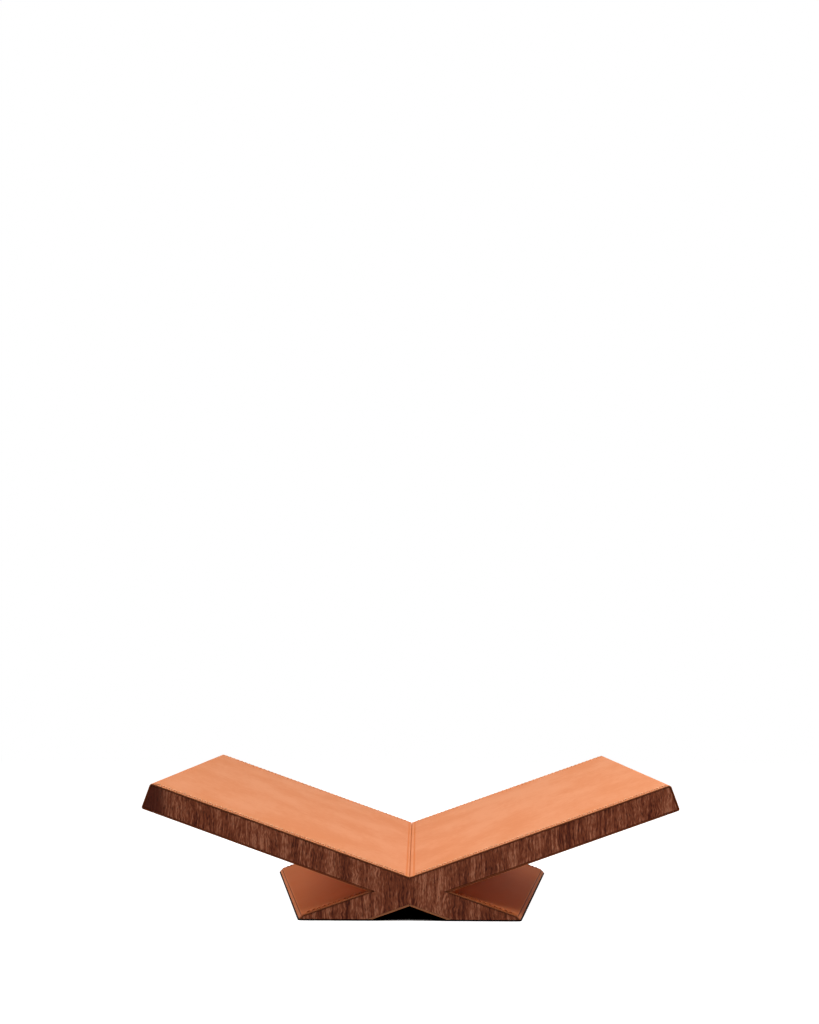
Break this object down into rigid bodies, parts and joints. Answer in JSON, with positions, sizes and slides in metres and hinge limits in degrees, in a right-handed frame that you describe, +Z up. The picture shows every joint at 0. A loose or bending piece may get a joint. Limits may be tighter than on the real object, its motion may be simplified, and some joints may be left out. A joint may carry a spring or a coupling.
{
  "type": "book stand",
  "caption": "Low X-shaped stand that holds one large book open: two leather-covered boards cross, long wings form a shallow valley, short slanted legs stand on dark soles.",
  "frame": {"origin": "on the table under the middle of the stand's bounding box", "axes": "+X to the reader's right along the wings, +Y away from the reader along the book's spine, +Z up"},
  "size_m": [0.4984, 0.31, 0.1463],
  "materials": {
    "tan_leather": "smooth vegetable-tanned leather, light satin",
    "dark_wood": "dark reddish veneer, upright grain, open pores, satin",
    "core_board": "plain board, hidden under leather and veneer",
    "black_felt": "thin pressed felt"
  },
  "bodies": {
    "root": {"right_wing_board": "core_board", "left_wing_board": "core_board", "front_wood_face": "dark_wood", "back_wood_face": "dark_wood", "right_wing_leather": "tan_leather", "left_wing_leather": "tan_leather", "right_wing_under_leather": "tan_leather", "left_wing_under_leather": "tan_leather", "right_leg_leather": "tan_leather", "left_leg_leather": "tan_leather", "right_arch_leather": "tan_leather", "left_arch_leather": "tan_leather", "right_sole": "black_felt", "left_sole": "black_felt"}
  },
  "joints": []
}
